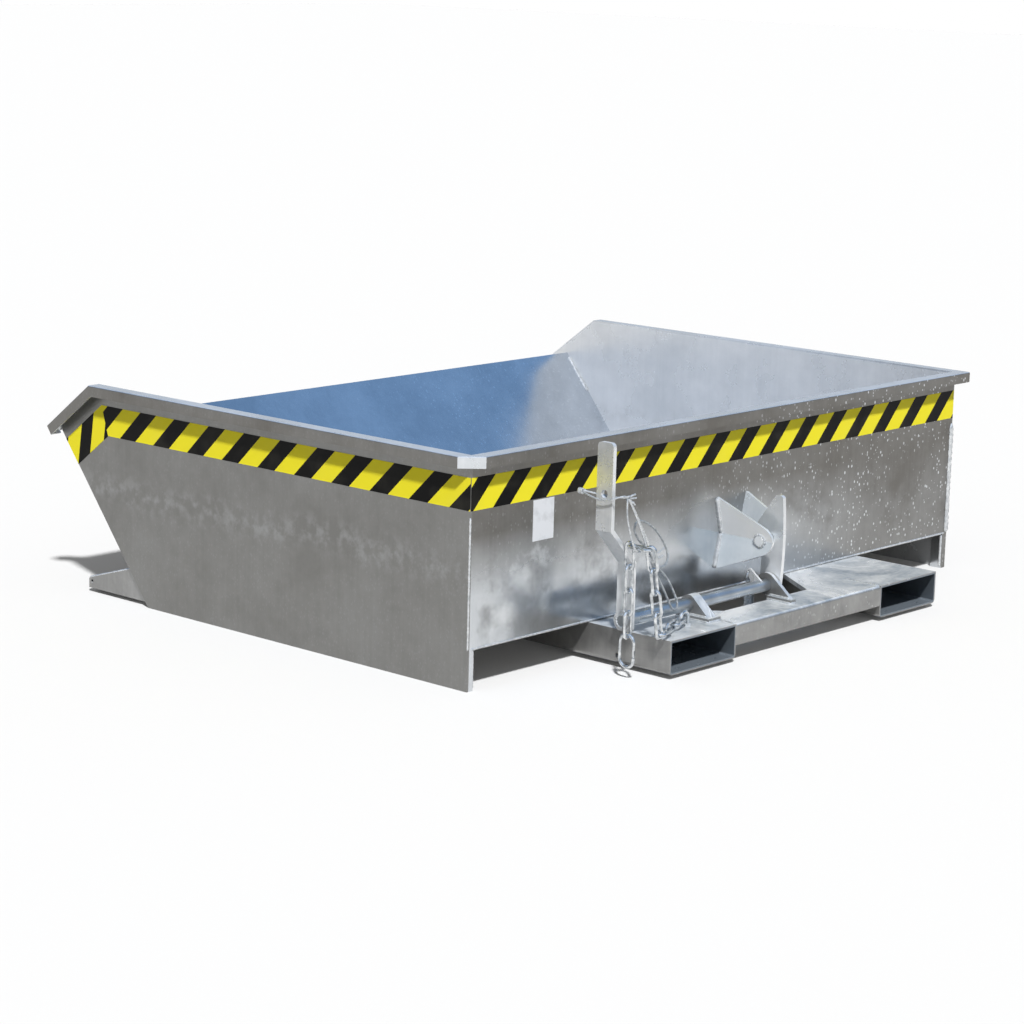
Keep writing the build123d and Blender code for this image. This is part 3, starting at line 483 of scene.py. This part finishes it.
def smoothMetal(name):
    look = metals[name]
    material, tree = newMaterial(name)
    cloud = noise(tree, objectSpot(tree), look["cloud"], detail=4.0)
    level = ramp(tree, cloud, *rubbed["levels"])
    colour = mixed(tree, level, linear(look["from"]), linear(look["to"]))
    rough = ramp(tree, level, 0.0, 1.0, *(look["rough"] + change for change in rubbed["rough"]))
    finishSurface(tree, colour, rough, bump(tree, cloud, *rubbed["relief"]), Metallic=look["metal"])
    return material


chainMetal, pinMetal, tieMetal, ropeMetal, ferruleMetal, beadMetal = (smoothMetal(name) for name in metals)
dress(["chain_tied", "chain_bow", "snap_hook_body", "snap_hook_gate"], chainMetal)
dress(["latch_shaft", "hinge_pin_left", "hinge_pin_right", "split_pin_left", "split_pin_right",
       "snap_hook_rivet", "spring_peg"], pinMetal)
dress(["cable_ferrule"], ferruleMetal)


# white vinyl sticker, bare: soft sheen, faint ripples (mm) where it sits on the rough zinc
sticker = {"white": "#E4E7EC", "grubby": "#C9CCD0", "dirt": (0.5, 0.8), "rough": (0.32, 0.52), "ripple": 18,
           "relief": (0.2, 0.001)}


def vinylSticker():
    material, tree = newMaterial("white vinyl sticker")
    dirt = noise(tree, objectSpot(tree), sticker["ripple"], detail=5.0)
    level = ramp(tree, dirt, *sticker["dirt"])
    colour = mixed(tree, level, linear(sticker["white"]), linear(sticker["grubby"]))
    rough = ramp(tree, dirt, 0.0, 1.0, *sticker["rough"])
    finishSurface(tree, colour, rough, bump(tree, dirt, *sticker["relief"]))
    return material


dress(["label_blank"], vinylSticker())


# striped PVC film: saturated yellow with slanting black bars, low sheen, a little dust and wear (mm)
film = {"yellow": "#F6E930", "black": "#0B0A09", "share": 0.47, "dust": "#B9B4A4",
        "dusty": (0.5, 0.8, 0.0, 0.05), "wear": 71.43, "rough": (0.32, 0.57), "sheen": 0.1,
        "relief": (0.1, 0.002)}
lipSlope = math.radians(37)
lipAlong = Vector((0, math.cos(lipSlope), -math.sin(lipSlope)))
lipUp = Vector((0, math.sin(lipSlope), math.cos(lipSlope)))
rearStripes = {"across": Vector((1, 0, -0.94)), "pitch": 0.0892, "phase": 0.446}
sideStripes = {"across": Vector((0, 1, 1.03)), "pitch": 0.0915, "phase": 0.317}
lipStripes = {"across": lipAlong + lipUp, "pitch": 0.0915, "phase": 0.5}
tapes = {"rear": rearStripes, "side left": sideStripes, "side right": sideStripes,
         "lip left": lipStripes, "lip right": lipStripes}


def stripedFilm(place, facts):
    material, tree = newMaterial("striped PVC film " + place)
    spot = objectSpot(tree)
    along = vector(tree, "DOT_PRODUCT", spot, facts["across"] / facts["pitch"], out="Value")
    step = calc(tree, "FRACT", calc(tree, "ADD", along, facts["phase"]))
    bar = calc(tree, "LESS_THAN", step, film["share"])
    wear = noise(tree, spot, film["wear"], detail=4.0)
    colour = mixed(tree, bar, linear(film["yellow"]), linear(film["black"]))
    dusty = mixed(tree, ramp(tree, wear, *film["dusty"]), colour, linear(film["dust"]))
    rough = ramp(tree, wear, 0.0, 1.0, *film["rough"])
    sheen = {"Specular IOR Level": film["sheen"]}
    finishSurface(tree, dusty, rough, bump(tree, wear, *film["relief"]), **sheen)
    return material


for place, facts in tapes.items():
    dress(["tape_" + place.replace(" ", "_")], stripedFilm(place, facts))
print("metals, sticker and tapes dressed")


# the two loops of the pull cable: six strands of galvanised wire laid round a core
# routes in mm across, up and forward from the ferrule, the rope in m
ferrule = {"centre": (-0.381, -0.557, 0.200), "tilt": -34.5}
loops = {
    "cable_loop_upper": {"length": 0.239, "route": [
        (0, 10, 0), (0, 22, 0), (-7, 41, 0), (-10, 58, 0), (-8, 72, 0), (1, 79, 0), (11, 75, 0), (20, 63, 0),
        (30, 46, 0), (37, 20, 0), (39, -6, -1), (33, -25, -4), (18, -33, -6), (5, -28, -5), (0.5, -18, -3.2),
        (0.5, -10, -3.2)]},
    "cable_loop_lower": {"length": 0.239, "route": [
        (2.6, -10, 1.5), (2.6, -24, 1.5), (9, -42, 1), (13, -62, 0), (14, -86, 0), (13, -108, 0),
        (10, -120, 0), (3, -126, 0), (-4, -121, 0), (-6, -108, 0), (-4, -76, 0), (-4, -42, 1),
        (-2.6, -22, 1.5), (-2.6, -10, 1.5)]},
}
rope = {"diameter": 0.004, "strands": 6, "lay": 0.026}


def ferruleAxes():
    tilt = math.radians(ferrule["tilt"])
    across = Vector((math.cos(tilt), 0, -math.sin(tilt)))
    up = Vector((math.sin(tilt), 0, math.cos(tilt)))
    return across, up


def ropePoints(route):
    across, up = ferruleAxes()
    centre = Vector(ferrule["centre"])
    return [centre + (across * p + up * q + Vector((0, r, 0))) / 1000 for p, q, r in route]


def curveMesh(data):
    carrier = bpy.data.objects.new(data.name, data)
    scene.collection.objects.link(carrier)
    mesh = bpy.data.meshes.new_from_object(carrier)
    bpy.data.objects.remove(carrier)
    return mesh


def readLine(points):
    # the route's smooth line, read back from its spline
    data = bpy.data.curves.new("ropeLine", "CURVE")
    data.dimensions = "3D"
    data.resolution_u = 12
    line = data.splines.new("NURBS")
    line.points.add(len(points) - 1)
    for spot, point in zip(line.points, points):
        spot.co = (*point, 1)
    line.order_u = 3
    line.use_endpoint_u = True
    mesh = curveMesh(data)
    found = [vertex.co.copy() for vertex in mesh.vertices]
    bpy.data.meshes.remove(mesh)
    return found


def tubeMesh(lines, radius):
    # round tubes along lines of points, each point with its own share of the radius
    data = bpy.data.curves.new("tubes", "CURVE")
    data.dimensions = "3D"
    data.bevel_depth = radius
    data.bevel_resolution = 1
    data.use_fill_caps = True
    for points, shares in lines:
        spline = data.splines.new("POLY")
        spline.points.add(len(points) - 1)
        for spot, point, share in zip(spline.points, points, shares):
            spot.co = (*point, 1)
            spot.radius = share
    mesh = curveMesh(data)
    form = bmesh.new()
    form.from_mesh(mesh)
    bpy.data.meshes.remove(mesh)
    bmesh.ops.remove_doubles(form, verts=form.verts, dist=samePlace)
    bmesh.ops.recalc_face_normals(form, faces=form.faces)
    return form


def evenTubes(lines, radius):
    return tubeMesh([(line, [1.0] * len(line)) for line in lines], radius)


def ropePiece(name, line):
    # a core and strands of equal thickness are each a third of the rope across
    thin = rope["diameter"] / 6
    run = [0.0]
    for before, after in zip(line[:-1], line[1:]):
        run.append(run[-1] + (after - before).length)
    aside = Vector((0, 1, 0))
    sides = []
    for index in range(len(line)):
        ahead = (line[min(index + 1, len(line) - 1)] - line[max(index - 1, 0)]).normalized()
        aside = (aside - ahead * aside.dot(ahead)).normalized()
        sides.append((aside.copy(), ahead.cross(aside)))
    lines = [line]
    for strand in range(rope["strands"]):
        start = strand / rope["strands"]
        turns = [2 * math.pi * (start + done / rope["lay"]) for done in run]
        lines.append([point + (one * math.cos(turn) + two * math.sin(turn)) * thin * 2
                      for point, (one, two), turn in zip(line, sides, turns)])
    return addPiece(name, evenTubes(lines, thin), ropeMetal, "latch")


for node, facts in loops.items():
    points = ropePoints(facts["route"])
    line = readLine(points)
    piece = ropePiece(node.replace("cable_loop", "wireRope"), line)
    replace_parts(piece, node)
print("cable loops set")


# return spring and slack chain, copied from the part's meshes: one end of each lies on the base and the
# other on the latch
linked = {
    "return_spring": {"name": "returnSpring", "metal": pinMetal, "slot": "plated_steel",
                      "from": (-40, -72, 33), "to": (-40, -72, 115)},
    "chain_run": {"name": "slackChain", "metal": chainMetal, "slot": "chain_zinc",
                  "from": (-302, -125.5, 79.6), "to": (-411.5, -168, 79.6)},
}
for node, facts in linked.items():
    piece = addPiece(facts["name"], nodeForm(node), facts["metal"], None)
    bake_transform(piece)
    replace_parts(piece, node)


# two plates re-cut: the far catch cheek has a blunter nose, the right gusset reaches further forward
sharpAngle = math.radians(30)
nose = {"from": placed((0, -96, 0)).y, "share": 0.1}
gusset = {"rear": placed((0, -95, 0)).y, "inner": 0.185, "back": 0.0055, "longer": 0.109, "wider": 0.065}


def recut(node, name, material, body, moves):
    form = nodeForm(node)
    for vertex in form.verts:
        vertex.co = moves(vertex.co)
    piece = addPiece(name, form, material, body)
    piece.data.set_sharp_from_angle(angle=sharpAngle)
    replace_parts(piece, node)


def bluntNose(at):
    past = min(at.y - nose["from"], 0)
    return Vector((at.x, at.y - past * (1 - nose["share"]), at.z))


def longGusset(at):
    spot = at.copy()
    if at.y < gusset["rear"]:
        spot.y -= gusset["back"]
    elif at.x > 0:
        spot.y += gusset["longer"]
    if 0 < at.x < gusset["inner"]:
        spot.x -= gusset["wider"]
    return spot


recut("catch_cheek_right", "catchCheekBlunt", zincs["catch plate"], "hopper", bluntNose)
recut("corner_gussets", "cornerGussets", zincs["base plate"], "base", longGusset)
print("cheek and gusset re-cut")


# binding wire round the lever: a knot with loose ends, legs under the top link, strands to the ferrule
wire = {"radius": 0.0017, "coilPitch": 0.0031, "coilSteps": 12, "collarTurns": 4, "collarRadius": 0.007,
        "knobAt": (-484, -50, 317), "knobTurns": 3, "knobRadius": 0.004}
wireRuns = {
    "through the lever": [
        [(-484, -50, 317), (-486, -64, 313), (-485, -86, 308), (-484, -108, 309), (-482, -122, 314),
         (-474, -131, 318), (-463, -131, 316), (-457, -129, 312)],
        [(-483, -52, 318), (-474, -66, 315), (-465, -80, 312), (-463, -104, 311), (-461, -124, 313),
         (-457, -129, 314)]],
    "under the top link": [
        [(-459, -130, 315), (-466, -133, 292), (-463, -140, 256), (-457, -146, 229), (-450, -147, 223.4),
         (-440, -147, 222.6), (-430, -147, 223.4), (-425, -145, 229), (-432, -140, 255), (-446, -134, 290),
         (-457, -129, 313)]],
    "down to the ferrule": [
        [(-458, -129, 314), (-447, -132, 297), (-428, -131, 269), (-406, -129, 238), (-389, -128, 211),
         (-380, -127.5, 199)],
        [(-459, -131, 313), (-450, -134, 296), (-432, -133, 268), (-409, -131, 237), (-391, -129, 209),
         (-384, -128, 196)]],
    "loose ends at the knot": [
        [(-458, -130, 314), (-450, -131, 317), (-443, -133, 318)],
        [(-458, -130, 313), (-449, -132, 311), (-441, -133, 312)],
        [(-458, -130, 312), (-450, -132, 306), (-444, -133, 300)],
        [(-459, -130, 312), (-454, -132, 304), (-447, -133, 305)],
        [(-460, -128, 311), (-464, -132, 316), (-457, -134, 317), (-454, -130, 311), (-460, -127, 309)]],
    "loose ends at the ferrule": [
        [(-383, -127, 203), (-370, -127.5, 208), (-357, -128.5, 214)],
        [(-380, -127, 199), (-368, -127.5, 197), (-359, -128, 201)]],
}


def coilPoints(middle, axis, turns, radius):
    one = axis.orthogonal().normalized()
    two = axis.cross(one)
    points = []
    for index in range(turns * wire["coilSteps"] + 1):
        turn = index / wire["coilSteps"]
        angle = 2 * math.pi * turn
        aside = (one * math.cos(angle) + two * math.sin(angle)) * radius
        points.append(middle + axis * wire["coilPitch"] * (turn - turns / 2) + aside)
    return points


def bindingWire():
    lines = [readLine([placed(point) for point in run]) for runs in wireRuns.values() for run in runs]
    up = ferruleAxes()[1]
    lines.append(coilPoints(Vector(ferrule["centre"]), up, wire["collarTurns"], wire["collarRadius"]))
    through = Vector((0, 1, 0))
    lines.append(coilPoints(placed(wire["knobAt"]), through, wire["knobTurns"], wire["knobRadius"]))
    form = evenTubes(lines, wire["radius"])
    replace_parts(addPiece("bindingWire", form, tieMetal, "latch"), "wire_tie")


bindingWire()
print("binding wire bent")


# weld beads: a row of overlapping ripples (mm) along each joint, drowned in zinc
beads = {"ripple": 3.5, "swell": 0.1, "uneven": 0.08, "tail": 0.5, "ringSteps": 14, "footSteps": 12}
chance = random.Random(5)


def bead(start, end, radius):
    start, end = placed(start), placed(end)
    count = max(2, round((end - start).length * 1000 / max(beads["ripple"], radius)))
    points = [start.lerp(end, index / count) for index in range(count + 1)]
    shares = []
    for index in range(count + 1):
        swell = beads["swell"] if index % 2 else -beads["swell"]
        shares.append(1 + swell + chance.uniform(-beads["uneven"], beads["uneven"]))
    shares[0] = shares[-1] = beads["tail"]
    return points, [share * radius / 1000 for share in shares]


def weldSeams(name, body, runs):
    lines = []
    for radius, *points in runs:
        lines += [bead(start, end, radius) for start, end in zip(points[:-1], points[1:])]
    addPiece(name, tubeMesh(lines, 1.0), beadMetal, body)


def circle(radius, steps):
    turns = [2 * math.pi * step / steps for step in range(steps + 1)]
    return [(radius * math.cos(turn), radius * math.sin(turn)) for turn in turns]


def ringOf(x, y, z, radius):
    return [(x, y + one, z + two) for one, two in circle(radius, beads["ringSteps"])]


def footOf(x, y, z, radius):
    return [(x + one, y + two, z) for one, two in circle(radius, beads["footSteps"])]


def bothSides(radius, *points):
    return [(radius, *((side * x, y, z) for x, y, z in points)) for side in (1, -1)]


# each run is a bead's radius and then the points along its joint, in mm
hopperRuns = [
    (6, (697, 2, 72), (697, 2, 292)), (1.8, (-699.5, 0.5, 70), (-699.5, 0.5, 292)),
    (2.2, (-694, 1, 71), (694, 1, 71)),
    (4, (-52, -1, 240), (-36, -1, 174), (-52, -1, 112)), (3.5, (40, -1, 240), (24, -1, 174), (40, -1, 112)),
    *bothSides(3, (694, 6, 76), (694, 6, 390)),
    *bothSides(3.5, (695, 818, 77), (695, 1009, 312)),
    (5.5, (693, 946, 235), (693, 1006, 308)),
    *bothSides(6, (-703, 1036, 305), (-703, 1046, 298)),
    (3, (-692, 6, 76), (692, 6, 76)),
    *bothSides(3, (686, 3, 3), (686, 3, 68)),
    (3.6, *ringOf(-38, -89, 174, 10.5)), (2.4, *ringOf(26, -87, 174, 7)),
]
baseRuns = [
    *bothSides(2.6, (-215, -176, 67), (-215, -101, 67)),
    *bothSides(2.6, (-215, -176.5, 32), (-215, -176.5, 66)),
    (2.4, (-243, -137, 76), (-243, -79, 76)), (2.4, (-219, -137, 76), (-219, -79, 76)),
    (2.4, (-248, -71, 69), (-248, -144, 69), (-214, -144, 69)),
    (2.4, (-21, -148, 76), (-21, -102, 76)), (2.4, (-26, -101, 69), (-26, -155, 69), (-12, -155, 69)),
    (2.2, *footOf(-302, -125.5, 69, 4.5)), (2.2, *footOf(-282, -125.5, 69, 4.5)),
    *bothSides(2.2, (-692, 740, 68), (-692, 832, 68), (-692, 967, 27)),
]
latchRuns = [(2.4, *ringOf(x, -94, 92, 11.5)) for x in (-422, -408, -10)]
weldSeams("weldSeamsTrough", "hopper", hopperRuns)
weldSeams("weldSeamsBase", "base", baseRuns)
weldSeams("weldSeamsLatch", "latch", latchRuns)
print("weld seams laid")
